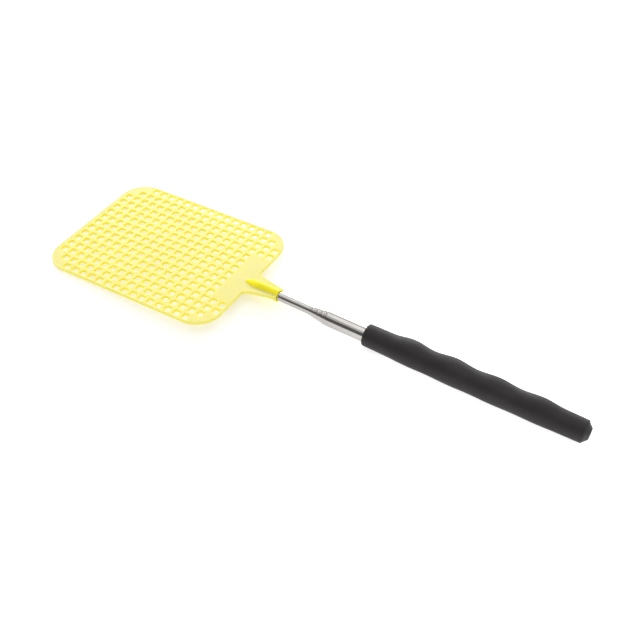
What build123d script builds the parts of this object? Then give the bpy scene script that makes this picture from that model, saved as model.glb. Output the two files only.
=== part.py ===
"""Telescopic fly swatter: a moulded lattice head on a five-section telescopic steel rod with a
finger-grooved rubber grip. All sizes are in millimetres.

The part lies on a surface, as it is put down: the rod is level, and the head leans down from its
socket until its far edge rests on the surface. +X runs from the head to the grip, +Z is up, and the
origin is the centre of the bounding box on the surface.

Places along the rod are stations: the distance from the head's far edge towards the grip.
"""

from build123d import *

import math
import os

# ---- driving dimensions ----------------------------------------------------------------------
TOTAL_LENGTH = 330.8
ROD_HEIGHT = 7.0  # the rod's axis above the surface: the grip's radius at its underside

# lattice head
PITCH = 6.25
COLUMNS = 19
ROWS = 15
HOLE = 4.3
HOLE_CORNER = 1.0
FAR_MARGIN = 4.9  # from the centres of the outer holes to the edges of the head
NEAR_MARGIN = 3.5
SIDE_MARGIN = 3.5
CORNER_RADIUS = 16.0
CORNER_CUT = 2  # a hole is left out where its column and row are this few steps from a corner
LATTICE_THICKNESS = 1.8
RIM_THICKNESS = 2.2
RIM_WIDTH = 0.9
SOLID_COLUMNS = 2  # columns and rows of holes left out where the neck meets the head
SOLID_ROWS = 7
NECK_ROOT = 11.5  # half widths of the gusset: where it leaves the head, and at the socket
NECK_WAIST = 8.0
NECK_MOUTH = 4.2
NECK_SPREAD = 1.6  # how far along the rod the gusset flares into the head

# socket that takes the tip tube
SOCKET_MOUTH = 140.2
SOCKET_RADIUS = 3.75
SOCKET_NOSE = 23.5
BORE_DEPTH = 14.0
NOSE_LENGTH = 9.0
SOCKET_TAPER = 0.3  # how much slimmer the socket is behind its nose than at its mouth
NOSE_ROUNDING = (0.3, 0.71)  # a point on the nose's curve, as shares of its length and radius
MOUTH_BEVEL = 0.4
MOUTH_RELIEF = 0.5

# telescopic tubes, outermost first
TUBE_DIAMETERS = [9.6, 8.6, 7.6, 6.6, 5.6]
WALL = 0.25
MOUTHS = [171.4, 168.2, 165.0, 161.7]  # stations of the four open mouths
OUTER_TUBE_END = 326.3
LIP_LENGTH = 0.9
SHOULDER_LENGTH = 1.5
SHOULDER_EASE = (0.7, 0.03)  # how far before its end, and how far below it, the shoulder eases off
SHOULDER_SHIFT = 0.1  # how much further along the wall's inside its bends are
RUNNING_GAP = 0.05
CRIMP_OFFSET = 2.4
CRIMP_DEPTH = 0.16
CRIMP_HALF_WIDTH = 0.5

# brass end bushes and their bronze spring leaves
BUSH_FLANGE = 1.4
BUSH_NECK = 8.0
BUSH_SPIGOT = 6.0
BUSH_GAP = 0.4
BUSH_CHAMFER = 0.3
NECK_DEPTH = 0.8
FIRST_BUSH_END = 316.8
LEAF_THICKNESS = 0.18
LEAF_ANGLE = 164.0
LEAF_END_GAP = 0.1
LEAF_WALL_GAP = 0.03

# rubber grip and its end cap
GRIP_FRONT = 197.9
GRIP_REAR = 328.3
GRIP_BORE_GAP = 0.02
FIRST_RIDGE = 225.8
RIDGE_PITCH = 25.55
RIDGE_RISES = [1.6, 1.4, 1.1, 1.1]  # finger ridges, from the front
GRIP_RADIUS = ROD_HEIGHT
GRIP_SWELL = 0.6  # how much thinner the grip is at its ends
GRIP_CROWN = 0.3  # how much further its top stands from the rod's axis than its underside
SECTIONS_PER_RIDGE = 6
FRONT_EDGE_FILLET = 1.2
REAR_EDGE_FILLET = 0.7
CAP_RADIUS = 5.6
CAP_LAND = 0.2
CAP_FACE_RADIUS = 3.3  # the flat at the very end, inside its bevels
CAP_EDGE_BEVEL = 0.75
CAP_SPIGOT_END = 317.3
CAP_HOLLOW_RADIUS = 2.9
CAP_FLOOR = 2.6
CAP_RIBS = 2  # rings round the spigot that grip the tube's wall
CAP_RIB_FIRST = 1.5
CAP_RIB_PITCH = 3.5
CAP_RIB_HEIGHT = 0.3
CAP_RIB_RAMP = 0.8
CAP_RIB_LENGTH = 1.4

PRESS_GAP = 0.02  # left between pieces that are pressed together
OVERCUT = 1.0  # how far a cutting tool runs out of the piece

HEAD_LENGTH = FAR_MARGIN + (COLUMNS - 1) * PITCH + NEAR_MARGIN
HEAD_WIDTH = (ROWS - 1) * PITCH + 2 * SIDE_MARGIN
PLATE_PIVOT = 116.8  # station where the middle plane of the plate meets the axis of the rod
HEAD_LEAN = math.degrees(math.asin((ROD_HEIGHT - RIM_THICKNESS / 2) / PLATE_PIVOT))


def x_at(station):
    return station - TOTAL_LENGTH / 2


def turned(points, angle=360.0):
    """A solid of revolution about the rod's axis, from (station, radius) points."""
    face = make_face(Polyline([(x_at(s), r) for s, r in points], close=True))
    return revolve(face, Axis.X, angle)


def on_rod(shape):
    """Lifts a shape made about the X axis to the height of the rod."""
    return Pos(0, 0, ROD_HEIGHT) * shape


# ---- tubes, bushes and springs ---------------------------------------------------------------
def outer_radius(k):
    return TUBE_DIAMETERS[k] / 2


def inner_radius(k):
    return outer_radius(k) - WALL


def bush_end(k):
    """Station of the rear face of the bush in the tail of tube k, with the rod closed."""
    stage_length = BUSH_FLANGE + BUSH_NECK + BUSH_SPIGOT + BUSH_GAP
    return FIRST_BUSH_END - (k - 1) * stage_length


def tube_tail(k):
    return OUTER_TUBE_END if k == 0 else bush_end(k) - BUSH_FLANGE - BUSH_NECK


def tube_travel(k):
    """How far tube k slides out before its spring meets the mouth of the tube around it."""
    return tube_tail(k) - (MOUTHS[k - 1] + LIP_LENGTH + SHOULDER_LENGTH + BUSH_GAP)


def tail_points(k, radius):
    """The tail end of a wall line: straight on the outer tube, with a crimp ring on the others."""
    tail = tube_tail(k)
    if k == 0:
        return [(tail, radius)]
    ring = tail - CRIMP_OFFSET
    return [
        (ring - 2 * CRIMP_HALF_WIDTH, radius),
        (ring - CRIMP_HALF_WIDTH, radius - CRIMP_DEPTH),
        (ring + CRIMP_HALF_WIDTH, radius - CRIMP_DEPTH),
        (ring + 2 * CRIMP_HALF_WIDTH, radius),
        (tail, radius),
    ]


def tube(k):
    """A tube whose mouth is rolled in to guide the next one, or the plain-ended tip tube."""
    ro, ri = outer_radius(k), inner_radius(k)
    if k == len(TUBE_DIAMETERS) - 1:
        front = SOCKET_MOUTH - BORE_DEPTH + PRESS_GAP
        outer, inner = [(front, ro)], [(front, ri)]
    else:
        mouth = MOUTHS[k]
        lip = outer_radius(k + 1) + RUNNING_GAP
        bend, body = mouth + LIP_LENGTH, mouth + LIP_LENGTH + SHOULDER_LENGTH
        before, below = SHOULDER_EASE
        outer = [(mouth, lip + WALL), (bend, lip + WALL), (body - before, ro - below), (body, ro)]
        bend, body = bend + SHOULDER_SHIFT, body + SHOULDER_SHIFT
        inner = [(mouth, lip), (bend, lip), (body - before, ri - below), (body, ri)]
    outline = outer + tail_points(k, ro) + list(reversed(inner + tail_points(k, ri)))
    return on_rod(turned(outline))


def bush(k):
    """A turned brass bush: a flange that guides the tail, a seat for the springs and a spigot."""
    end = bush_end(k)
    flange = inner_radius(k - 1) - RUNNING_GAP
    seat = outer_radius(k) - NECK_DEPTH
    spigot = inner_radius(k) - PRESS_GAP
    groove = spigot - CRIMP_DEPTH
    tail = tube_tail(k)
    ring = tail - CRIMP_OFFSET
    outline = [
        (tail - BUSH_SPIGOT, 0),
        (tail - BUSH_SPIGOT, spigot - BUSH_CHAMFER),
        (tail - BUSH_SPIGOT + BUSH_CHAMFER, spigot),
        (ring - 2 * CRIMP_HALF_WIDTH - PRESS_GAP, spigot),
        (ring - CRIMP_HALF_WIDTH - PRESS_GAP, groove),
        (ring + CRIMP_HALF_WIDTH + PRESS_GAP, groove),
        (ring + 2 * CRIMP_HALF_WIDTH + PRESS_GAP, spigot),
        (tail, spigot),
        (tail, seat),
        (end - BUSH_FLANGE, seat),
        (end - BUSH_FLANGE, flange),
        (end - BUSH_CHAMFER, flange),
        (end, flange - BUSH_CHAMFER),
        (end, 0),
    ]
    return on_rod(turned(outline))


def spring_leaf(k, side):
    """One of the two bowed half-shells that press on the wall around the bush of tube k."""
    seat = outer_radius(k) - NECK_DEPTH + LEAF_WALL_GAP
    crown = inner_radius(k - 1) - LEAF_WALL_GAP
    x0 = x_at(tube_tail(k) + LEAF_END_GAP)
    x1 = x_at(bush_end(k) - BUSH_FLANGE - LEAF_END_GAP)
    middle = (x0 + x1) / 2
    outer = ThreePointArc((x0, seat + LEAF_THICKNESS), (middle, crown), (x1, seat + LEAF_THICKNESS))
    inner = ThreePointArc((x0, seat), (middle, crown - LEAF_THICKNESS), (x1, seat))
    front = Line((x0, seat), (x0, seat + LEAF_THICKNESS))
    rear = Line((x1, seat), (x1, seat + LEAF_THICKNESS))
    leaf = revolve(make_face(outer + rear + inner + front), Axis.X, LEAF_ANGLE)
    return on_rod(Rot((180 - LEAF_ANGLE) / 2 + (0 if side == "a" else 180), 0, 0) * leaf)


# ---- head ------------------------------------------------------------------------------------
def hole_centres():
    """Centres of the open cells, from the far edge and the head's centre line."""
    middle = (ROWS - 1) / 2
    for i in range(COLUMNS):
        for j in range(ROWS):
            corner = min(i, COLUMNS - 1 - i) + min(j, ROWS - 1 - j) < CORNER_CUT
            web = i >= COLUMNS - SOLID_COLUMNS and abs(j - middle) <= SOLID_ROWS / 2
            if not (corner or web):
                yield FAR_MARGIN + i * PITCH, (j - middle) * PITCH


def head_outline(inset):
    """The rounded blade and the gusset that flares into it, drawn in by an inset."""
    blade = Pos(HEAD_LENGTH / 2, 0) * RectangleRounded(
        HEAD_LENGTH - 2 * inset, HEAD_WIDTH - 2 * inset, CORNER_RADIUS - inset
    )
    near = HEAD_LENGTH - inset
    root = near - 2 * RIM_WIDTH
    waist = NECK_WAIST - inset
    flare = [
        (SOCKET_MOUTH - MOUTH_RELIEF, NECK_MOUTH - inset),
        (near + NECK_SPREAD, waist),
        (near, waist),
        (near, NECK_ROOT),
    ]
    mirrored = [(x, -y) for x, y in flare]
    gusset = make_face(
        Bezier(*flare)
        + Polyline(flare[-1], (root, NECK_ROOT), (root, -NECK_ROOT), mirrored[-1])
        + Bezier(*mirrored)
        + Line(mirrored[0], flare[0])
    )
    return blade + gusset


def head_plate():
    """The flat lattice with its rim and gusset, with the far edge at x = 0 and its middle at z = 0."""
    outline = head_outline(0)
    cells = Sketch() + [Pos(x, y) * RectangleRounded(HOLE, HOLE, HOLE_CORNER) for x, y in hole_centres()]
    lattice = extrude(outline - cells, LATTICE_THICKNESS / 2, both=True)
    rim = extrude(outline - head_outline(RIM_WIDTH), RIM_THICKNESS / 2, both=True)
    return lattice + rim


def socket():
    """The bullet-nosed boss on the rod's axis that the gusset runs into."""
    nose = SOCKET_MOUTH - SOCKET_NOSE
    shoulder = nose + NOSE_LENGTH
    shoulder_radius = SOCKET_RADIUS - SOCKET_TAPER
    along, out = NOSE_ROUNDING
    curve = Spline(
        (x_at(nose), 0),
        (x_at(nose + NOSE_LENGTH * along), shoulder_radius * out),
        (x_at(shoulder), shoulder_radius),
        tangents=[(0.1, 1), (1, 0.03)],
    )
    side = Polyline(
        (x_at(shoulder), shoulder_radius),
        (x_at(SOCKET_MOUTH - MOUTH_BEVEL), SOCKET_RADIUS),
        (x_at(SOCKET_MOUTH), SOCKET_RADIUS - MOUTH_BEVEL),
        (x_at(SOCKET_MOUTH), 0),
        (x_at(nose), 0),
    )
    return revolve(make_face(curve + side), Axis.X)


def socket_bore():
    """The blind bore for the tip tube, relieved at its mouth."""
    bore = outer_radius(len(TUBE_DIAMETERS) - 1) + PRESS_GAP
    return turned(
        [
            (SOCKET_MOUTH - BORE_DEPTH, 0),
            (SOCKET_MOUTH - BORE_DEPTH, bore),
            (SOCKET_MOUTH - 2 * MOUTH_RELIEF, bore),
            (SOCKET_MOUTH + OVERCUT, bore + 1.5 * MOUTH_RELIEF),
            (SOCKET_MOUTH + OVERCUT, 0),
        ]
    )


def swatter_head():
    plate = Rot(0, -HEAD_LEAN, 0) * (Pos(-PLATE_PIVOT, 0, 0) * head_plate())
    plate = Pos(x_at(PLATE_PIVOT), 0, 0) * plate
    return on_rod(plate + socket() - socket_bore())


# ---- grip and cap ----------------------------------------------------------------------------
def grip_underside(station):
    """Radius of the grip below the rod's axis: a long, slight swell."""
    middle = (GRIP_FRONT + GRIP_REAR) / 2
    return GRIP_RADIUS - GRIP_SWELL * ((station - middle) / (GRIP_REAR - middle)) ** 2


def grip_top(station):
    """Radius of the grip above the rod's axis: finger ridges on the same swell."""
    ridge = (station - FIRST_RIDGE) / RIDGE_PITCH
    nearest = round(ridge)
    rise = RIDGE_RISES[nearest] if 0 <= nearest < len(RIDGE_RISES) else 0
    wave = (1 + math.cos(2 * math.pi * ridge)) / 2
    return grip_underside(station) + GRIP_CROWN + rise * wave


def grip_sections():
    """Stations of the loft's circles: evenly along the ridges, then the two plain ends."""
    step = RIDGE_PITCH / SECTIONS_PER_RIDGE
    first = FIRST_RIDGE - RIDGE_PITCH / 2
    waved = [first + step * n for n in range(SECTIONS_PER_RIDGE * len(RIDGE_RISES) + 1)]
    return [GRIP_FRONT, (GRIP_FRONT + first) / 2, *waved, (waved[-1] + GRIP_REAR) / 2, GRIP_REAR]


def rubber_grip():
    circles = []
    for station in grip_sections():
        low = grip_underside(station)
        high = grip_top(station)
        plane = Plane((x_at(station), 0, (high - low) / 2), x_dir=(0, 1, 0), z_dir=(1, 0, 0))
        circles.append(plane * Circle((high + low) / 2))
    body = loft(circles)
    body = fillet(body.edges().group_by(Axis.X)[0], FRONT_EDGE_FILLET)
    body = fillet(body.edges().group_by(Axis.X)[-1], REAR_EDGE_FILLET)
    bore = outer_radius(0) + GRIP_BORE_GAP
    front = GRIP_FRONT - OVERCUT
    rear = GRIP_REAR + OVERCUT
    body -= turned([(front, 0), (front, bore), (rear, bore), (rear, 0)])
    return on_rod(body)


def end_cap():
    """A moulded plug: a bevelled end behind the grip, and a hollow ribbed spigot in the tube."""
    bore = inner_radius(0) - PRESS_GAP
    shank = bore - CAP_RIB_HEIGHT
    hollow_end = TOTAL_LENGTH - CAP_FLOOR
    ribs = []
    for n in range(CAP_RIBS):
        start = CAP_SPIGOT_END + CAP_RIB_FIRST + CAP_RIB_PITCH * n
        end = start + CAP_RIB_LENGTH
        ribs += [(start, shank), (start + CAP_RIB_RAMP, bore), (end, bore), (end, shank)]
    outline = [
        (CAP_SPIGOT_END, CAP_HOLLOW_RADIUS),
        (CAP_SPIGOT_END, shank),
        *ribs,
        (GRIP_REAR + PRESS_GAP, shank),
        (GRIP_REAR + PRESS_GAP, CAP_RADIUS),
        (GRIP_REAR + CAP_LAND, CAP_RADIUS),
        (TOTAL_LENGTH - CAP_EDGE_BEVEL, CAP_FACE_RADIUS + CAP_EDGE_BEVEL),
        (TOTAL_LENGTH, CAP_FACE_RADIUS),
        (TOTAL_LENGTH, 0),
        (hollow_end, 0),
        (hollow_end, CAP_HOLLOW_RADIUS),
    ]
    return on_rod(turned(outline))


# ---- write -----------------------------------------------------------------------------------
def all_nodes():
    yield "swatter_head", swatter_head()
    yield "rubber_grip", rubber_grip()
    yield "end_cap", end_cap()
    for k in range(len(TUBE_DIAMETERS)):
        yield f"tube_{k + 1}", tube(k)
    for k in range(1, len(TUBE_DIAMETERS)):
        yield f"end_bush_{k + 1}", bush(k)
        for side in "ab":
            yield f"spring_leaf_{k + 1}{side}", spring_leaf(k, side)


os.makedirs("parts", exist_ok=True)
for name, shape in all_nodes():
    export_step(shape, f"parts/{name}.step")
for k in range(1, len(TUBE_DIAMETERS)):
    print(f"tube_{k + 1} travel {tube_travel(k):.1f} mm")
print(f"head {HEAD_LENGTH:.1f} x {HEAD_WIDTH:.1f} mm, leaning {HEAD_LEAN:.2f} degrees")
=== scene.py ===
"""Looks of the telescopic fly swatter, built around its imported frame.

Everything is in metres, in the row frame: +X runs from the head to the grip, +Z is up, and the
swatter lies on the floor at z = 0. Every shape is laid out from the boxes of the CAD nodes.
"""

import math

import bmesh
import bpy
from mathutils import Matrix, Vector
from mathutils.geometry import delaunay_2d_cdt


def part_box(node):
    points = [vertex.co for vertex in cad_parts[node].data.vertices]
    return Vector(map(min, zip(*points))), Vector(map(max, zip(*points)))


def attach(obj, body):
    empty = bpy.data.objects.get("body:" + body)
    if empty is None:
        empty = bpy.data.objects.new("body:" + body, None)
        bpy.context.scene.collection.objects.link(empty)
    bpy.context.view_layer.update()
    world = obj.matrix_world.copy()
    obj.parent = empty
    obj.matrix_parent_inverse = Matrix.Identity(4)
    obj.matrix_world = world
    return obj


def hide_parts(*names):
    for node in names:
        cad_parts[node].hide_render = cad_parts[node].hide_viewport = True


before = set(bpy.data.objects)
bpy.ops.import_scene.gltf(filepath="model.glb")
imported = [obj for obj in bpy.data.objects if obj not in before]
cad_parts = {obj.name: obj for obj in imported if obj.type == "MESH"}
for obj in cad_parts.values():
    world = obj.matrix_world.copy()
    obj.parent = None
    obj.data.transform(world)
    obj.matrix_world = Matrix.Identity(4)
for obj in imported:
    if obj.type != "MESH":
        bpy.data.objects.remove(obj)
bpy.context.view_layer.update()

MM = 0.001
SWATTER_LENGTH = 330.8 * MM
SEGMENTS = 96  # faces round each turned piece
SHARP_ANGLE = math.radians(38)

# ---- places read from the frame --------------------------------------------------------------
TUBES = range(1, 6)
MOVING = range(2, 6)
tube_low = {k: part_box(f"tube_{k}")[0] for k in TUBES}
tube_high = {k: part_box(f"tube_{k}")[1] for k in TUBES}
radius = {k: (tube_high[k].y - tube_low[k].y) / 2 for k in TUBES}
axis_z = (tube_low[1].z + tube_high[1].z) / 2
head_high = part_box("swatter_head")[1]
grip_low, grip_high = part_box("rubber_grip")
cap_low, cap_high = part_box("end_cap")
front = cap_high.x - SWATTER_LENGTH  # stations are distances from here, the head's far edge


# ---- mesh helpers ----------------------------------------------------------------------------
def add_piece(name, verts, faces, material, body, nodes):
    """A smooth mesh that rides on a body and stands for the named CAD nodes."""
    mesh = bpy.data.meshes.new(name)
    mesh.from_pydata(verts, [], faces)
    bm = bmesh.new()
    bm.from_mesh(mesh)
    bmesh.ops.recalc_face_normals(bm, faces=bm.faces)
    bm.to_mesh(mesh)
    bm.free()
    mesh.shade_smooth()
    mesh.set_sharp_from_angle(angle=SHARP_ANGLE)
    mesh.materials.append(material)
    piece = bpy.data.objects.new(name, mesh)
    bpy.context.scene.collection.objects.link(piece)
    weighted = piece.modifiers.new("weighted_normals", "WEIGHTED_NORMAL")
    weighted.keep_sharp = True
    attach(piece, body)
    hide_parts(*nodes)
    return piece


def arc(x, r, size, start, end, steps):
    """Points (x, radius) on an arc in a turned profile; angles in degrees from +X towards +r."""
    angles = [math.radians(start + (end - start) * n / steps) for n in range(steps + 1)]
    return [(x + size * math.cos(a), r + size * math.sin(a)) for a in angles]


def quarter_turn(steps):
    """Angles from 0 to a right angle, in radians."""
    return [math.pi / 2 * n / steps for n in range(steps + 1)]


def ring_faces(rings, count, closed):
    """Quads between rings of equal count, given as the index of each ring's first vertex."""
    faces = []
    following = rings[1:] + rings[:1] if closed else rings[1:]
    for a, b in zip(rings, following):
        for n in range(count):
            m = (n + 1) % count
            faces.append((a + n, a + m, b + m, b + n))
    return faces


def turned(profile, closed=True):
    """Vertices and faces of a profile of (x, radius) points turned about the rod's axis.
    An open profile starts and ends on the axis."""
    verts, rings, faces = [], [], []
    inner = profile if closed else profile[1:-1]
    for x, r in inner:
        rings.append(len(verts))
        for n in range(SEGMENTS):
            a = 2 * math.pi * n / SEGMENTS
            verts.append((x, r * math.sin(a), axis_z + r * math.cos(a)))
    faces += ring_faces(rings, SEGMENTS, closed)
    if not closed:
        for end, ring in ((profile[0], rings[0]), (profile[-1], rings[-1])):
            pole = len(verts)
            verts.append((end[0], 0.0, axis_z))
            faces += [(ring + n, ring + (n + 1) % SEGMENTS, pole) for n in range(SEGMENTS)]
    return verts, faces


def smoothstep(t):
    """Eases from 0 to 1 while t goes from 0 to 1."""
    t = min(max(t, 0.0), 1.0)
    return t * t * (3 - 2 * t)


def smooth_max(a, b, blend):
    """The larger of two heights, rounded over where they meet."""
    share = min(max(0.5 + 0.5 * (a - b) / blend, 0.0), 1.0)
    return b + (a - b) * share + blend * share * (1 - share)


# ---- materials -------------------------------------------------------------------------------
class Nodes:
    """A material's node tree, with short calls for the nodes that the materials share."""

    def __init__(self, name):
        self.material = bpy.data.materials.new(name)
        self.material.use_nodes = True
        self.tree = self.material.node_tree
        self.shader = self.tree.nodes["Principled BSDF"]
        self.place = self.add("ShaderNodeTexCoord").outputs["Object"]

    def add(self, kind, **settings):
        """A new node with its settings."""
        node = self.tree.nodes.new(kind)
        for key, value in settings.items():
            setattr(node, key, value)
        return node

    def link(self, source, target):
        self.tree.links.new(source, target)

    def scaled(self, x, y, z):
        """The object's own coordinates, stretched along each axis."""
        mapping = self.add("ShaderNodeMapping")
        mapping.inputs["Scale"].default_value = (x, y, z)
        self.link(self.place, mapping.inputs["Vector"])
        return mapping.outputs["Vector"]

    def noise(self, scale, detail=3.0, roughness=0.5, place=None):
        """Noise from 0 to 1; scale is in features per metre."""
        node = self.add("ShaderNodeTexNoise")
        node.inputs["Scale"].default_value = scale
        node.inputs["Detail"].default_value = detail
        node.inputs["Roughness"].default_value = roughness
        self.link(place or self.place, node.inputs["Vector"])
        return node.outputs["Fac"]

    def spread(self, source, low, high, from_low=0.3, from_high=0.7):
        """Maps a texture's usual range to low..high."""
        node = self.add("ShaderNodeMapRange")
        node.inputs["From Min"].default_value = from_low
        node.inputs["From Max"].default_value = from_high
        node.inputs["To Min"].default_value = low
        node.inputs["To Max"].default_value = high
        self.link(source, node.inputs["Value"])
        return node.outputs["Result"]

    def mix(self, share, a, b):
        """A colour between a and b; each is a colour or a socket."""
        node = self.add("ShaderNodeMix", data_type="RGBA")
        self.link(share, node.inputs["Factor"])
        for name, value in (("A", a), ("B", b)):
            socket = next(s for s in node.inputs if s.name == name and s.type == "RGBA")
            if isinstance(value, tuple):
                socket.default_value = (*value, 1.0)
            else:
                self.link(value, socket)
        return next(s for s in node.outputs if s.type == "RGBA")

    def bump(self, height, distance, strength=1.0, normal=None):
        """A normal with relief from a height texture, on top of another normal if one is given."""
        node = self.add("ShaderNodeBump")
        node.inputs["Strength"].default_value = strength
        node.inputs["Distance"].default_value = distance
        self.link(height, node.inputs["Height"])
        if normal:
            self.link(normal, node.inputs["Normal"])
        return node.outputs["Normal"]

    def set(self, **values):
        """Sets the shader's inputs, each to a value or to a socket; _ stands for a space."""
        for key, value in values.items():
            socket = self.shader.inputs[key.replace("_", " ")]
            if hasattr(value, "links"):
                self.link(value, socket)
            else:
                socket.default_value = value


def head_plastic():
    """Fluorescent yellow moulding with faint flow marks: pale where thin, golden where thick and in painted
    shade, with a painted sheen in the pale colour and a painted glow for its fluorescence.
    """
    m = Nodes("head_plastic")
    # the vertex mask read here deepens the colour for thick plastic and also paints shade down the holes,
    # along the rim's edge, on the socket's flanks and inside its bore
    depth = m.add("ShaderNodeAttribute", attribute_name="depth_and_shade").outputs["Fac"]
    flow = m.noise(60, 4.0, 0.6, m.scaled(0.35, 1.0, 1.0))
    # the pale colour of the thin top faces is partly a painted sheen; the golden colour is the thick
    # plastic's and also the colour of the painted shade
    thin_and_sheen = m.mix(m.spread(flow, 0.0, 1.0), (0.69, 0.642, 0.256), (0.665, 0.617, 0.232))
    thick_and_shaded = m.mix(m.spread(flow, 0.0, 1.0), (0.92, 0.78, 0.003), (0.88, 0.73, 0.002))
    colour = m.mix(depth, thin_and_sheen, thick_and_shaded)
    grain = m.noise(5200, 2.0, 0.5)
    waves = m.bump(flow, 0.00012, 0.35)
    m.set(
        Base_Color=colour,
        Roughness=m.spread(m.noise(420, 3.0), 0.26, 0.38),
        Normal=m.bump(grain, 0.000012, 0.5, waves),
        Specular_IOR_Level=0.32,
        # painted glow: the plastic shines a little by itself, standing in for its fluorescence
        Emission_Color=(1.0, 0.9, 0.02, 1.0),
        Emission_Strength=0.1,
        Subsurface_Weight=0.5,
        Subsurface_Radius=(0.005, 0.0045, 0.0008),
        Subsurface_Scale=1.0,
    )
    return m.material


def polished_steel():
    """Drawn and polished stainless tube: fine lines along the rod and faint finger marks."""
    m = Nodes("polished_steel")
    lines = m.noise(900, 3.0, 0.55, m.scaled(0.012, 1.0, 1.0))
    marks = m.noise(95, 4.0, 0.6)
    colour = m.mix(m.spread(marks, 0.0, 1.0), (0.56, 0.54, 0.518), (0.50, 0.482, 0.464))
    m.set(
        Base_Color=colour,
        Metallic=1.0,
        Roughness=m.spread(marks, 0.09, 0.17),
        Normal=m.bump(lines, 0.000004, 0.35),
    )
    return m.material


def turned_metal(name, light, dark, roughness):
    """Machined copper alloy with tool rings along the rod's axis."""
    m = Nodes(name)
    rings = m.add("ShaderNodeTexWave", wave_type="BANDS", bands_direction="X")
    rings.inputs["Scale"].default_value = 1400
    rings.inputs["Distortion"].default_value = 0.6
    m.link(m.place, rings.inputs["Vector"])
    stain = m.noise(380, 4.0, 0.6)
    m.set(
        Base_Color=m.mix(m.spread(stain, 0.0, 1.0), light, dark),
        Metallic=1.0,
        Roughness=m.spread(stain, roughness, roughness + 0.18),
        Normal=m.bump(rings.outputs["Fac"], 0.00001, 0.5),
    )
    return m.material


def grip_rubber():
    """Matte black rubber with a fine moulded pebble and slightly rubbed patches."""
    m = Nodes("grip_rubber")
    rub = m.noise(70, 3.0, 0.55)
    pebble = m.add("ShaderNodeTexVoronoi", feature="SMOOTH_F1")
    pebble.inputs["Scale"].default_value = 2600
    m.link(m.place, pebble.inputs["Vector"])
    coarse = m.bump(m.noise(900, 3.0, 0.6), 0.00005, 0.35)
    m.set(
        Base_Color=m.mix(m.spread(rub, 0.0, 1.0), (0.015, 0.0122, 0.0120), (0.019, 0.0160, 0.0158)),
        Roughness=m.spread(rub, 0.62, 0.5),
        Normal=m.bump(pebble.outputs["Distance"], 0.00003, 0.35, coarse),
        Specular_IOR_Level=0.33,
    )
    return m.material


def cap_plastic():
    """Black moulded plug, a little darker and smoother than the rubber."""
    m = Nodes("cap_plastic")
    mottle = m.noise(500, 4.0, 0.6)
    m.set(
        Base_Color=m.mix(m.spread(mottle, 0.0, 1.0), (0.010, 0.010, 0.010), (0.016, 0.015, 0.015)),
        Roughness=m.spread(mottle, 0.42, 0.56),
        Normal=m.bump(m.noise(3800, 2.0), 0.00002, 0.3),
        Specular_IOR_Level=0.45,
    )
    return m.material


# ---- rod -------------------------------------------------------------------------------------
WALL = 0.25 * MM
RUNNING_GAP = 0.05 * MM
LIP_LENGTH = 0.9 * MM
SHOULDER_LENGTH = 1.5 * MM
SHOULDER_STEPS = 12
END_STEPS = 6


def tube_profile(k):
    """The closed outline of a tube's wall, with its rolled-in mouth towards the head."""
    mouth, tail = tube_low[k].x, tube_high[k].x
    outer = radius[k]
    half = WALL / 2
    rolled = k < max(TUBES)
    lip = radius[k + 1] + RUNNING_GAP if rolled else outer - WALL
    rise = outer - WALL - lip
    inside = [
        (mouth + LIP_LENGTH + SHOULDER_LENGTH * t, lip + rise * smoothstep(t))
        for t in (n / SHOULDER_STEPS for n in range(SHOULDER_STEPS + 1))
    ]
    front_end = arc(mouth + half, lip + half, half, 270, 90, END_STEPS)
    rear_end = arc(tail - half, outer - half, half, 90, -90, END_STEPS)
    outside = [(x, r + WALL) for x, r in inside]
    return front_end + outside + rear_end + inside[::-1]


def make_tubes(steel):
    """The five tubes of the rod. The outer one is part of the handle."""
    for k in TUBES:
        verts, faces = turned(tube_profile(k))
        body = "handle" if k == 1 else f"section_{k}"
        add_piece(f"rod_tube_{k}", verts, faces, steel, body, [f"tube_{k}"])


# ---- grip and cap ----------------------------------------------------------------------------
GRIP_RADIUS = axis_z
GRIP_SWELL = 0.6 * MM  # how much thinner the grip is at its ends
GRIP_CROWN = 0.3 * MM  # how much further its top stands from the rod's axis than its underside
FIRST_RIDGE = 225.8 * MM
RIDGE_PITCH = 25.55 * MM
RIDGE_RISES = [1.6 * MM, 1.4 * MM, 1.1 * MM, 1.1 * MM]  # finger ridges, from the front
GRIP_STEP = 0.8 * MM  # between the rings of the skin
FRONT_ROUND = 1.2 * MM
REAR_ROUND = 0.7 * MM
ROUND_STEPS = 8
BORE_FLARE = 0.4 * MM
SEAM_DEPTH = 0.025 * MM
SEAM_HALF_WIDTH = 0.05  # radians round the grip


def grip_circle(x):
    """Height of the centre above the rod's axis, and radius, of the grip's section at x."""
    middle = (grip_low.x + grip_high.x) / 2
    reach = (grip_high.x - grip_low.x) / 2
    low = GRIP_RADIUS - GRIP_SWELL * ((x - middle) / reach) ** 2
    ridge = (x - front - FIRST_RIDGE) / RIDGE_PITCH
    nearest = round(ridge)
    rise = RIDGE_RISES[nearest] if 0 <= nearest < len(RIDGE_RISES) else 0.0
    high = low + GRIP_CROWN + rise * (1 + math.cos(2 * math.pi * ridge)) / 2
    return (high - low) / 2, (high + low) / 2


def grip_ring(x, inset):
    """One ring of the grip's skin, with the mould's parting line along both sides."""
    lift, size = grip_circle(x)
    points = []
    for n in range(SEGMENTS):
        a = 2 * math.pi * n / SEGMENTS
        off_seam = abs(abs(math.pi - a) - math.pi / 2)
        seam = SEAM_DEPTH * (1 - smoothstep(off_seam / SEAM_HALF_WIDTH)) if inset == 0 else 0.0
        r = size - inset - seam
        points.append((x, r * math.sin(a), axis_z + lift + r * math.cos(a)))
    return points


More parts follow.
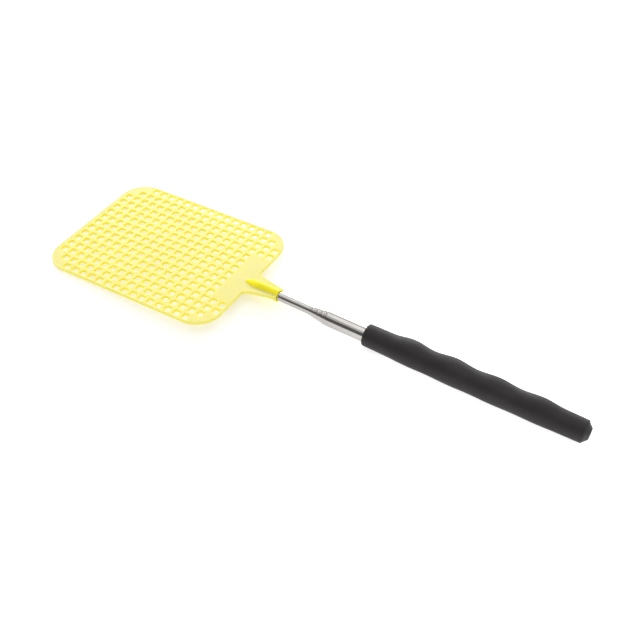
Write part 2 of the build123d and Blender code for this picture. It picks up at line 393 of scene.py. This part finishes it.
def make_grip(rubber):
    """The rubber sleeve: rounded front edge, ridged skin, rounded rear edge, then back along its bore."""
    bore = radius[1] + RUNNING_GAP
    x0, x1 = grip_low.x, grip_high.x
    rings = []
    for a in quarter_turn(ROUND_STEPS):
        rings.append(grip_ring(x0 + FRONT_ROUND * (1 - math.cos(a)), FRONT_ROUND * (1 - math.sin(a))))
    straight = x1 - x0 - FRONT_ROUND - REAR_ROUND
    count = int(straight / GRIP_STEP)
    rings += [grip_ring(x0 + FRONT_ROUND + straight * n / count, 0) for n in range(1, count)]
    for a in quarter_turn(ROUND_STEPS):
        rings.append(grip_ring(x1 - REAR_ROUND * (1 - math.sin(a)), REAR_ROUND * (1 - math.cos(a))))
    for x, r in ((x1, bore), (x0 + BORE_FLARE, bore), (x0, bore + BORE_FLARE)):
        angles = [2 * math.pi * n / SEGMENTS for n in range(SEGMENTS)]
        rings.append([(x, r * math.sin(a), axis_z + r * math.cos(a)) for a in angles])
    verts = [p for ring in rings for p in ring]
    faces = ring_faces([n * SEGMENTS for n in range(len(rings))], SEGMENTS, True)
    add_piece("finger_grip", verts, faces, rubber, "handle", ["rubber_grip"])


CAP_RADIUS = 5.6 * MM
CAP_LAND = 0.2 * MM
CAP_FACE = 3.3 * MM
CAP_BEVEL = 0.75 * MM
CAP_PLUG_RADIUS = 4.2 * MM
CAP_JOINT = 0.02 * MM  # between the cap and the grip's end
GATE_RADIUS = 0.8 * MM
GATE_DEPTH = 0.25 * MM
SMALL_EDGE = 0.1 * MM


def make_cap(plastic):
    """The bevelled end behind the grip, with a sunk moulding gate, and its plug in the tube."""
    x1 = cap_high.x
    x0 = grip_high.x + CAP_JOINT
    profile = [
        (x1 - GATE_DEPTH, 0.0),
        (x1 - GATE_DEPTH, GATE_RADIUS - SMALL_EDGE),
        (x1 - GATE_DEPTH + SMALL_EDGE, GATE_RADIUS),
        (x1, GATE_RADIUS + SMALL_EDGE),
        (x1, CAP_FACE - SMALL_EDGE),
        (x1 - SMALL_EDGE, CAP_FACE + SMALL_EDGE),
        (x1 - CAP_BEVEL, CAP_FACE + CAP_BEVEL),
        (x0 + CAP_LAND + SMALL_EDGE, CAP_RADIUS - SMALL_EDGE),
        (x0 + CAP_LAND, CAP_RADIUS),
        (x0 + SMALL_EDGE, CAP_RADIUS),
        (x0, CAP_RADIUS - SMALL_EDGE),
        (x0, CAP_PLUG_RADIUS),
        (cap_low.x, CAP_PLUG_RADIUS),
        (cap_low.x, 0.0),
    ]
    verts, faces = turned(profile, closed=False)
    add_piece("grip_plug", verts, faces, plastic, "handle", ["end_cap"])


# ---- head ------------------------------------------------------------------------------------
# The head is laid out flat in millimetres: u from its far edge towards the rod, v across it, and
# w above its middle plane. head_point() then leans it down from the rod.
PITCH = 6.25
COLUMNS = 19
ROWS = 15
HOLE_HALF = 2.15
HOLE_CORNER = 1.0
CORNER_STEPS = 4
FAR_MARGIN = 4.9  # from the centres of the first holes to the far edge
CORNER_CUT = 2  # a hole is left out where its column and row are this few steps from a corner
SOLID_COLUMNS = 2  # columns and rows of holes left out before the socket
SOLID_ROWS = 7
HEAD_LENGTH = 120.9
HALF_WIDTH = head_high.y / MM
CORNER_RADIUS = 16.0
LATTICE_HALF = 0.9
RIM_HALF = 1.1
RIM_WIDTH = 0.9
MOUTH = (head_high.x - front) / MM
NECK_MOUTH = 4.2  # half widths of the gusset: at the socket's mouth, its waist, and the head
NECK_WAIST = 8.0
NECK_ROOT = 11.5
NECK_SPREAD = 1.6  # how far along the rod the gusset flares into the head
FLARE = [
    (MOUTH, NECK_MOUTH),
    (HEAD_LENGTH + NECK_SPREAD, NECK_WAIST),
    (HEAD_LENGTH, NECK_WAIST),
    (HEAD_LENGTH, NECK_ROOT),
]
PIVOT = 116.8  # where the head's middle plane meets the rod's axis
SOCKET_RADIUS = 3.75
SOCKET_TAPER = 0.3
SOCKET_LENGTH = 23.5
NOSE = MOUTH - SOCKET_LENGTH
NOSE_LENGTH = 9.0
CREASE = 0.5  # rounding where the socket meets the plate
BORE_DEPTH = 14.0
PIN_MARKS = [(111.5, 14.0), (111.5, -14.0), (111.5, 0.0)]  # left by ejector pins underneath
PIN_RADIUS = 1.6
PIN_DEPTH = 0.12
PIN_EDGE = 0.2  # width of the slope round a pin's mark
lean = math.asin((axis_z / MM - RIM_HALF) / PIVOT)

# (inset, level) of the loops across the rim: over its rounded edge, then down to the lattice
RIM_ROUND = 0.38
RIM_LOOPS = [
    (RIM_ROUND * (1 - math.cos(a)), RIM_HALF - RIM_ROUND * (1 - math.sin(a))) for a in quarter_turn(4)
]
RIM_LOOPS += [
    (0.62, RIM_HALF),
    (0.72, RIM_HALF - 0.03),
    (0.84, LATTICE_HALF + 0.02),
    (RIM_WIDTH, LATTICE_HALF),
]
# (growth, level) of the loops round a hole's upper edge, from the lattice's face into the hole
HOLE_ROUND = 0.12
HOLE_LOOPS = [
    (HOLE_ROUND * (1 - math.sin(a)), LATTICE_HALF - HOLE_ROUND * (1 - math.cos(a))) for a in quarter_turn(3)
]
HOLE_DRAFT = 0.05  # how much tighter a hole is at its middle
# (depth, shrink) of the loops that round the socket's end, and (depth, growth) down its bore's mouth
MOUTH_LOOPS = [(0.09, 0.09), (0.0, 0.3)]
BORE_LOOPS = [(0.0, 0.5), (0.1, 0.3), (1.0, 0.0)]

# how deep the colour is, from 0 on the thin lattice to 1 in the socket and down the holes: partly the depth
# of the translucent plastic, partly painted shade
BAR_PAINTED_SHADE = 0.12
WALL_PAINTED_SHADE = 0.4
EDGE_PAINTED_SHADE = 0.35
EDGE_PAINTED_SHADE_WIDTH = 0.4
SOCKET_SHADE_START = 0.05  # how far the socket stands out where its deeper colour and painted shade start
SOCKET_SHADE_RISE = 0.7

# how finely the head is drawn
FLARE_STEPS = 30
CORNER_ARC_STEPS = 20
EDGE_SPACING = 3.0
PIN_POINTS = 24
ACROSS_STEPS = 14  # across half of the socket
BESIDE_SOCKET = (0.2, 0.5, 0.9, 1.5, 2.4, 3.6)
BESIDE_RIM = 0.12
ROW_LEAD = 1.2  # rows of points across the socket start this far before its nose
ROW_SPACING = 0.15  # at the nose; it grows behind it
ROW_GROWTH = 0.45
ROW_GROWTH_START = 0.5
ROW_GROWTH_LENGTH = 3.0
ROW_END = 0.3
INSIDE_ONLY = 1  # the triangulation's mode: triangles inside the outer loop
MERGE_DISTANCE = 1e-5


def axis_height(u):
    """Height of the rod's axis above the head's middle plane."""
    return (PIVOT - u) * math.tan(lean)


def head_point(u, v, w):
    """A point of the flat head, leaned down from the rod and put in the row frame."""
    upright = smoothstep((u - HEAD_LENGTH) / (MOUTH - HEAD_LENGTH))
    flat = Vector((u - PIVOT + (w - axis_height(u)) * math.tan(lean) * upright, v, w))
    leaned = Matrix.Rotation(-lean, 3, "Y") @ flat
    return leaned * MM + Vector((front + PIVOT * MM, 0.0, axis_z))


def socket_radius(u):
    """The socket's bullet nose, then its slight swell towards the mouth."""
    along = (u - NOSE) / NOSE_LENGTH
    if along <= 0:
        return 0.0
    slim = SOCKET_RADIUS - SOCKET_TAPER
    if along < 1:
        return slim * math.sqrt(1 - (1 - along) ** 2)
    rest = (u - NOSE - NOSE_LENGTH) / (MOUTH - NOSE - NOSE_LENGTH)
    return slim + SOCKET_TAPER * rest


def surface(u, v, level, side):
    """Height of the head's top (side 1) or underside (side -1): the plate, with the socket on it."""
    size = socket_radius(u)
    if abs(v) < size:
        boss = side * axis_height(u) + math.sqrt(size * size - v * v)
        return side * smooth_max(boss, level, CREASE)
    return side * level


def pin_mark(u, v):
    """Depth of an ejector pin's mark at a place on the underside."""
    nearest = min(math.dist((u, v), mark) for mark in PIN_MARKS)
    return PIN_DEPTH * (1 - smoothstep((nearest - PIN_RADIUS + PIN_EDGE) / PIN_EDGE))


def hole_loop(centre, grow):
    """A rounded square round a hole's centre, grown by a margin."""
    side = HOLE_HALF - HOLE_CORNER
    points = []
    for quarter in range(4):
        across = Matrix.Rotation(math.pi / 2 * quarter, 2) @ Vector((side, side))
        for n in range(CORNER_STEPS + 1):
            a = math.pi / 2 * (quarter + n / CORNER_STEPS)
            outwards = Vector((math.cos(a), math.sin(a))) * (HOLE_CORNER + grow)
            points.append(Vector(centre) + across + outwards)
    return points


def hole_centres():
    """Centres of the open cells; the corners and the web before the socket are solid."""
    middle = (ROWS - 1) / 2
    for i in range(COLUMNS):
        for j in range(ROWS):
            corner = min(i, COLUMNS - 1 - i) + min(j, ROWS - 1 - j) < CORNER_CUT
            web = i >= COLUMNS - SOLID_COLUMNS and abs(j - middle) <= SOLID_ROWS / 2
            if not (corner or web):
                yield (FAR_MARGIN + i * PITCH, (j - middle) * PITCH)


def circle_points(centre, size, start, end, steps):
    """Points on an arc; angles in degrees."""
    angles = [math.radians(start + (end - start) * n / steps) for n in range(steps + 1)]
    return [Vector(centre) + Vector((math.cos(a), math.sin(a))) * size for a in angles]


def bezier(controls, steps):
    """Points along a cubic curve, from its first control point to its last."""
    points = []
    for n in range(steps + 1):
        t = n / steps
        s = 1 - t
        weights = (s * s * s, 3 * s * s * t, 3 * s * t * t, t * t * t)
        points.append(sum((Vector(c) * w for c, w in zip(controls, weights)), Vector((0, 0))))
    return points


def between(a, b):
    """Even points along a straight stretch of the edge, without its two ends."""
    count = int((b - a).length / EDGE_SPACING)
    return [a.lerp(b, n / count) for n in range(1, count)]


def half_outline():
    """Half of the head's edge, v above 0: from the socket's mouth, along the gusset, to the middle
    of the far edge."""
    r = CORNER_RADIUS
    flare = bezier(FLARE, FLARE_STEPS)
    near = circle_points((HEAD_LENGTH - r, HALF_WIDTH - r), r, 0, 90, CORNER_ARC_STEPS)
    far = circle_points((r, HALF_WIDTH - r), r, 90, 180, CORNER_ARC_STEPS)
    end = Vector((0.0, 0.0))
    points = flare + between(flare[-1], near[0]) + near
    points += between(near[-1], far[0]) + far
    return points + between(far[-1], end) + [end]


half_edge = half_outline()
edge = half_edge + [Vector((p.x, -p.y)) for p in reversed(half_edge[:-1])]


def inset_edge(amount):
    """The whole edge, from one side of the mouth to the other, moved inwards by an amount."""
    moved = []
    last = len(edge) - 1
    for n, p in enumerate(edge):
        along = edge[min(n + 1, last)] - edge[max(n - 1, 0)]
        if n in (0, last):
            along = Vector((1.0 if n else -1.0, 0.0))
        along.normalize()
        moved.append(p + Vector((-along.y, along.x)) * amount)
    return moved


def gusset_half(u):
    """Half width of the head at u."""
    for p, q in zip(half_edge, half_edge[1:]):
        if q.x <= u <= p.x and p.x > q.x:
            return p.y + (q.y - p.y) * (p.x - u) / (p.x - q.x)
    return SOCKET_RADIUS


def across_socket(u):
    """Places across the head at u: close together where the socket's sides are steep."""
    size = socket_radius(u)
    limit = gusset_half(u) - RIM_WIDTH - BESIDE_RIM
    places = [size * math.sin(math.pi / 2 * n / ACROSS_STEPS) for n in range(ACROSS_STEPS + 1)]
    places += [size + step for step in BESIDE_SOCKET]
    places = [v for v in places if v < limit]
    return [-v for v in reversed(places[1:])] + places


def flat_region():
    """Triangles of the lattice's face inside the rim. Returns the 2D points, the triangles, and
    the points of each hole's loop, of the rim's loop and of the socket's mouth."""
    points, edges = [], []

    def add_loop(loop, closed):
        ids = list(range(len(points), len(points) + len(loop)))
        points.extend(loop)
        edges.extend(zip(ids, ids[1:] + (ids[:1] if closed else [])))
        return ids

    rim = add_loop(inset_edge(RIM_WIDTH), False)
    mouth = add_loop([Vector((MOUTH, v)) for v in across_socket(MOUTH)], False)
    edges += [(rim[-1], mouth[0]), (mouth[-1], rim[0])]
    holes = [add_loop(hole_loop(c, HOLE_LOOPS[0][0]), True) for c in hole_centres()]
    for mark in PIN_MARKS:
        for size in (PIN_RADIUS, PIN_RADIUS - PIN_EDGE / 2, PIN_RADIUS - PIN_EDGE, PIN_RADIUS / 2):
            points.extend(circle_points(mark, size, 0, 360 - 360 / PIN_POINTS, PIN_POINTS - 1))
    u = NOSE - ROW_LEAD
    while u < MOUTH - ROW_END:
        points.extend(Vector((u, v)) for v in across_socket(u))
        u += ROW_SPACING + ROW_GROWTH * smoothstep((u - NOSE - ROW_GROWTH_START) / ROW_GROWTH_LENGTH)
    found = delaunay_2d_cdt(points, edges, [], INSIDE_ONLY, MERGE_DISTANCE)
    flat, _, triangles, sources = found[:4]
    where = {old: index for index, olds in enumerate(sources) for old in olds}
    owner = {where[p]: n for n, loop in enumerate(holes) for p in loop}
    # a triangle with all its corners on one hole's loop covers that hole
    open_cell = [len({owner.get(p, -1 - p) for p in t}) == 1 for t in triangles]
    return (
        flat,
        [t for t, is_open in zip(triangles, open_cell) if not is_open],
        [[where[p] for p in loop] for loop in holes],
        [where[p] for p in rim],
        [where[p] for p in mouth],
    )


class HeadMesh:
    """Vertices, faces and a value for each vertex: 0 where the moulding is thin, 1 where deep or in painted
    shade.
    """

    def __init__(self):
        self.verts, self.faces, self.depth_and_shade_values = [], [], []

    def add(self, point, depth_and_shade):
        self.verts.append(point)
        self.depth_and_shade_values.append(depth_and_shade)
        return len(self.verts) - 1

    def bridge(self, a, b, closed):
        """Quads between two rows of vertices."""
        count = len(a)
        for n in range(count if closed else count - 1):
            m = (n + 1) % count
            self.faces.append((a[n], a[m], b[m], b[n]))

    def bridge_all(self, rings, closed):
        for a, b in zip(rings, rings[1:]):
            self.bridge(a, b, closed)


def socket_depth_and_shade(w, level):
    """How far the socket stands out of the plate, from 0 to 1: its colour deepens with it, partly for the
    thicker plastic and partly as painted shade on its flanks.
    """
    return smoothstep((abs(w) - level - SOCKET_SHADE_START) / SOCKET_SHADE_RISE)


def add_skin(mesh, flat, triangles, holes, side):
    """The lattice's top (side 1) or underside (side -1), with the socket on it."""
    skin = []
    for u, v in flat:
        w = surface(u, v, LATTICE_HALF, side)
        if side == -1:
            w += pin_mark(u, v)
        skin.append(mesh.add(head_point(u, v, w), socket_depth_and_shade(w, LATTICE_HALF)))
    # the top's edge round each hole is painted a little deeper, as shade at the hole's lip
    for loop in holes:
        for p in loop:
            mesh.depth_and_shade_values[skin[p]] = BAR_PAINTED_SHADE
    mesh.faces += [[skin[p] for p in t] for t in triangles]
    return skin


def add_hole_walls(mesh, skins, holes):
    """The wall of each hole from the top to the underside, tightest at its middle and painted darkest
    there, as shade down the hole.
    """
    upper = HOLE_LOOPS[1:]
    walls = upper + [(-HOLE_DRAFT, 0.0)] + [(grow, -w) for grow, w in reversed(upper)]
    for centre, loop in zip(hole_centres(), holes):
        rings = [[skins[1][p] for p in loop]]
        for grow, w in walls:
            # painted shade down the hole, darkest at the wall's middle
            depth_and_shade = WALL_PAINTED_SHADE + (1 - WALL_PAINTED_SHADE) * (1 - abs(w) / LATTICE_HALF)
            rings.append([mesh.add(head_point(u, v, w), depth_and_shade) for u, v in hole_loop(centre, grow)])
        rings.append([skins[-1][p] for p in loop])
        mesh.bridge_all(rings, True)


def add_rim(mesh, skins, rim):
    """Strips round the edge, over the rim from the top's loop to the underside's."""
    strips = [[skins[1][p] for p in rim]]
    outer = RIM_LOOPS[:-1]
    for side, loops in ((1, outer[::-1]), (-1, outer)):
        for inset, level in loops:
            # painted shade along the rounded outer edge, fading inwards
            edge_shade = EDGE_PAINTED_SHADE * (1 - smoothstep(inset / EDGE_PAINTED_SHADE_WIDTH))
            strip = []
            for u, v in inset_edge(inset):
                w = surface(u, v, level, side)
                depth_and_shade = max(edge_shade, socket_depth_and_shade(w, RIM_HALF))
                strip.append(mesh.add(head_point(u, v, w), depth_and_shade))
            strips.append(strip)
    strips.append([skins[-1][p] for p in rim])
    mesh.bridge_all(strips, False)
    return strips


def add_bore(mesh, end):
    """Closes the socket: a rounded end, a relieved mouth and a blind bore round the tip tube."""
    bore = radius[5] + RUNNING_GAP
    x = head_high.x
    offsets = [(mesh.verts[p].y, mesh.verts[p].z - axis_z) for p in end]
    angles = [math.atan2(y, z) for y, z in offsets]
    reaches = [math.hypot(y, z) for y, z in offsets]
    shapes = [(x - depth * MM, [r - shrink * MM for r in reaches]) for depth, shrink in MOUTH_LOOPS]
    bottom = x - BORE_DEPTH * MM
    inside = [(x - depth * MM, bore + grow * MM) for depth, grow in BORE_LOOPS]
    inside += [(bottom, bore), (bottom, bore / 2)]
    shapes += [(along, [r] * len(angles)) for along, r in inside]
    rings = [end]
    for along, sizes in shapes:
        points = [Vector((along, r * math.sin(a), axis_z + r * math.cos(a))) for a, r in zip(angles, sizes)]
        # the socket's end and bore take the deepest colour: thick plastic, and painted shade inside the
        # bore
        rings.append([mesh.add(p, 1.0) for p in points])
    mesh.bridge_all(rings, True)
    centre = mesh.add(Vector((bottom, 0.0, axis_z)), 1.0)
    last = rings[-1]
    mesh.faces += [(last[n], last[(n + 1) % len(last)], centre) for n in range(len(last))]


def make_head(plastic):
    """One closed moulding: two skins, the holes' walls, the rim, and the socket's end and bore."""
    flat, triangles, holes, rim, mouth = flat_region()
    mesh = HeadMesh()
    skins = {side: add_skin(mesh, flat, triangles, holes, side) for side in (1, -1)}
    add_hole_walls(mesh, skins, holes)
    strips = add_rim(mesh, skins, rim)
    end = [strip[0] for strip in strips] + [skins[-1][p] for p in reversed(mouth)]
    end += [strip[-1] for strip in reversed(strips)] + [skins[1][p] for p in mouth]
    add_bore(mesh, end)
    piece = add_piece(
        "head_moulding", mesh.verts, mesh.faces, plastic, "section_5", ["swatter_head"]
    )
    # the per-vertex mask of plastic depth and painted shade that the material reads
    layer = piece.data.attributes.new("depth_and_shade", "FLOAT", "POINT")
    layer.data.foreach_set("value", mesh.depth_and_shade_values)


# ---- stage -----------------------------------------------------------------------------------
FLOOR_SIZE = 6.0
FLOOR_GLOW = (0.36, 0.8)  # under the head, and under the rod and grip, where painted light washes out their shadows
GLOW_RISE = (-0.01, 0.05)  # the stretch of X between the two
FLAG_DISTANCE = 1.6
FLAG_HALF_WIDTH = 1.1
FLAG_LOW = math.radians(4)
FLAG_HIGH = math.radians(43)
FOCAL_LENGTH = 55.1  # mm on a 36 mm sensor
CAMERA_AIM = Vector((0.0047, -0.0043, axis_z))
CAMERA_DISTANCE = 0.5588
CAMERA_AZIMUTH = math.radians(28.0)
CAMERA_ELEVATION = math.radians(44.46)
CAMERA_ROLL = math.radians(3.65)


def towards(azimuth, elevation):
    """Unit vector from the swatter towards a viewer at that azimuth and elevation."""
    level = math.cos(elevation)
    return Vector((math.sin(azimuth) * level, -math.cos(azimuth) * level, math.sin(elevation)))


def make_floor():
    """A white light table that glows a little under the head and more under the rod and grip: the stronger
    glow is painted light that washes out the shadows they cast.
    """
    bpy.ops.mesh.primitive_plane_add(size=FLOOR_SIZE, location=(0, 0, 0))
    floor = bpy.context.object
    floor.name = "floor"
    m = Nodes("pale_floor")
    place = m.add("ShaderNodeSeparateXYZ")
    m.link(m.place, place.inputs["Vector"])
    m.set(
        Base_Color=(0.75, 0.75, 0.75, 1.0),
        Roughness=0.8,
        Specular_IOR_Level=0.1,
        Emission_Color=(1.0, 1.0, 1.0, 1.0),
        Emission_Strength=m.spread(place.outputs["X"], *FLOOR_GLOW, *GLOW_RISE),
    )
    floor.data.materials.append(m.material)


def make_softbox(name, azimuth, elevation, distance, size, power):
    """A rectangular light that faces the swatter; angles in degrees, power in watts."""
    light = bpy.data.lights.new(name, "AREA")
    light.shape = "RECTANGLE"
    light.size, light.size_y = size
    light.energy = power
    lamp = bpy.data.objects.new(name, light)
    away = towards(math.radians(azimuth), math.radians(elevation))
    lamp.location = away * distance
    lamp.rotation_mode = "QUATERNION"
    lamp.rotation_quaternion = away.to_track_quat("Z", "Y")
    lamp.visible_camera = False
    bpy.context.scene.collection.objects.link(lamp)


def make_flag():
    """A dark card on the viewer's side, seen only in reflections: the dark line along the tubes."""
    middle = towards(-CAMERA_AZIMUTH, 0.0) * FLAG_DISTANCE
    across = Vector((math.cos(CAMERA_AZIMUTH), -math.sin(CAMERA_AZIMUTH), 0.0)) * FLAG_HALF_WIDTH
    corners = []
    for side, angle in ((-1, FLAG_LOW), (1, FLAG_LOW), (1, FLAG_HIGH), (-1, FLAG_HIGH)):
        height = Vector((0.0, 0.0, FLAG_DISTANCE * math.tan(angle)))
        corners.append(middle + across * side + height)
    mesh = bpy.data.meshes.new("flag")
    mesh.from_pydata(corners, [], [(0, 1, 2, 3)])
    m = Nodes("flag_cloth")
    m.set(Base_Color=(0.12, 0.12, 0.12, 1.0), Roughness=0.9)
    mesh.materials.append(m.material)
    flag = bpy.data.objects.new("flag", mesh)
    flag.visible_camera = False
    flag.visible_diffuse = False
    flag.visible_shadow = False
    bpy.context.scene.collection.objects.link(flag)


def make_world():
    """An even white studio, and plain colour management."""
    world = bpy.data.worlds.new("white_studio")
    world.use_nodes = True
    background = world.node_tree.nodes["Background"]
    background.inputs["Color"].default_value = (1.0, 1.0, 1.0, 1.0)
    background.inputs["Strength"].default_value = 0.72
    bpy.context.scene.world = world
    bpy.context.scene.view_settings.view_transform = "Standard"


def make_camera():
    """Looks down on the swatter from its -Y side, a little round towards the grip."""
    data = bpy.data.cameras.new("camera")
    data.lens = FOCAL_LENGTH
    data.sensor_width = 36.0
    camera = bpy.data.objects.new("camera", data)
    back = towards(CAMERA_AZIMUTH, CAMERA_ELEVATION)
    camera.location = CAMERA_AIM + back * CAMERA_DISTANCE
    camera.rotation_mode = "QUATERNION"
    level = (-back).to_track_quat("-Z", "Y").to_matrix()
    camera.rotation_quaternion = (level @ Matrix.Rotation(CAMERA_ROLL, 3, "Z")).to_quaternion()
    bpy.context.scene.collection.objects.link(camera)
    bpy.context.scene.camera = camera


# ---- build -----------------------------------------------------------------------------------
make_world()
make_camera()
make_floor()
make_softbox("overhead", azimuth=208, elevation=86, distance=1.5, size=(1.4, 1.4), power=4.4)
make_softbox("far_side", azimuth=206, elevation=24, distance=1.5, size=(1.7, 0.8), power=15.0)
make_flag()

make_tubes(polished_steel())
make_grip(grip_rubber())
make_cap(cap_plastic())
make_head(head_plastic())
brass = turned_metal("turned_brass", (0.80, 0.62, 0.30), (0.62, 0.44, 0.18), 0.22)
bronze = turned_metal("spring_bronze", (0.70, 0.46, 0.27), (0.52, 0.31, 0.17), 0.28)
for k in MOVING:
    for node, material in (
        (f"end_bush_{k}", brass),
        (f"spring_leaf_{k}a", bronze),
        (f"spring_leaf_{k}b", bronze),
    ):
        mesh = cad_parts[node].data
        mesh.materials.clear()
        mesh.materials.append(material)
